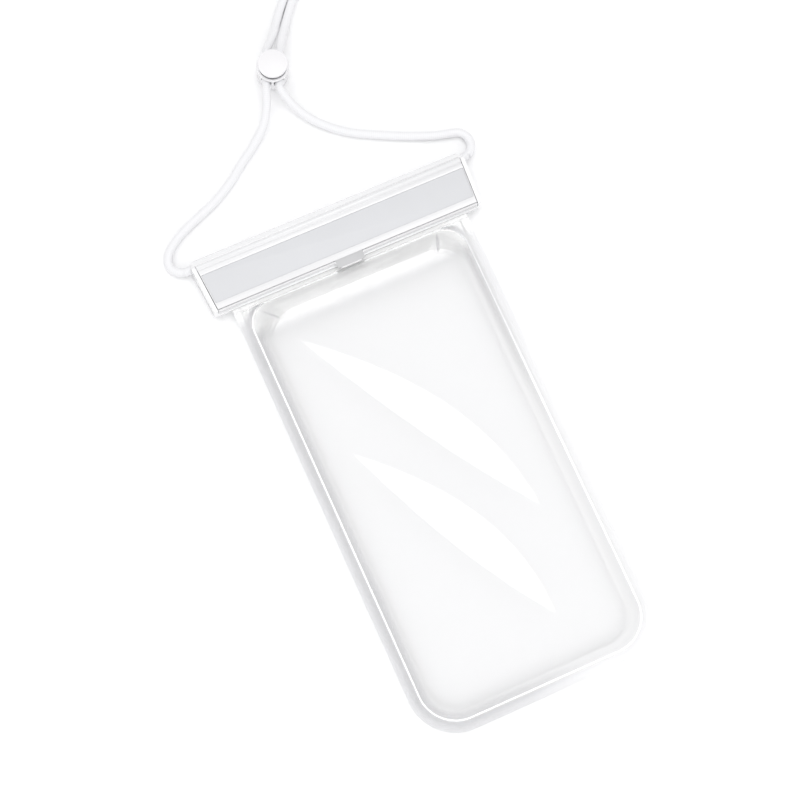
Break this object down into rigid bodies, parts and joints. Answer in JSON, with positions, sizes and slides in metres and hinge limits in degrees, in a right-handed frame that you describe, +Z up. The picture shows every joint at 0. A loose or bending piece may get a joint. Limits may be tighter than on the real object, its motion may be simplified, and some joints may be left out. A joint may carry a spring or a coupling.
{
  "type": "waterproof pouch",
  "caption": "Clear flat pouch with a hinged snap clip along its mouth, a neck lanyard threaded through the clip and a sprung cord lock.",
  "frame": {"origin": "middle of the pouch's length and width, on the surface that it lies on, measured without the lanyard", "axes": "+X along the clip bar, to the right as seen from the front; +Y from the bag's closed end towards the clip bar; +Z up, out of the front film"},
  "size_m": [0.1296, 0.3378, 0.0125],
  "materials": {
    "clear_film": "clear flexible film",
    "white_plastic": "glossy white",
    "label_grey": "satin light grey",
    "seal_silicone": "soft translucent white",
    "steel": "plain wire",
    "white_cord": "round white cord",
    "lock_plastic": "semi-gloss white",
    "tie_band": "matt light grey band"
  },
  "bodies": {
    "pouch": {"back_film": "clear_film", "front_film": "clear_film", "clip_back": "white_plastic", "seal_strip_back": "seal_silicone", "hinge_pin": "steel", "lanyard_lower": "white_cord", "lanyard_neck_left": "white_cord", "lanyard_neck_right": "white_cord", "lanyard_coil": "white_cord", "coil_tie": "tie_band", "cord_lock_body": "lock_plastic", "cord_lock_spring": "steel"},
    "cover": {"clip_cover": "white_plastic", "label_plate": "label_grey", "seal_strip_front": "seal_silicone"},
    "button": {"cord_lock_button": "lock_plastic"}
  },
  "joints": [
    {"name": "cover_hinge", "type": "hinge", "parent": "pouch", "child": "cover", "pos_m": [0, 0.09535, 0.0065], "axis": [-1, 0, 0], "range_deg": [0, 170]},
    {"name": "button_press", "type": "slide", "parent": "pouch", "child": "button", "axis": [0, 0, -1], "range_m": [0, 0.0016], "stiffness_N_per_m": 400, "deforming": ["cord_lock_spring"]}
  ]
}
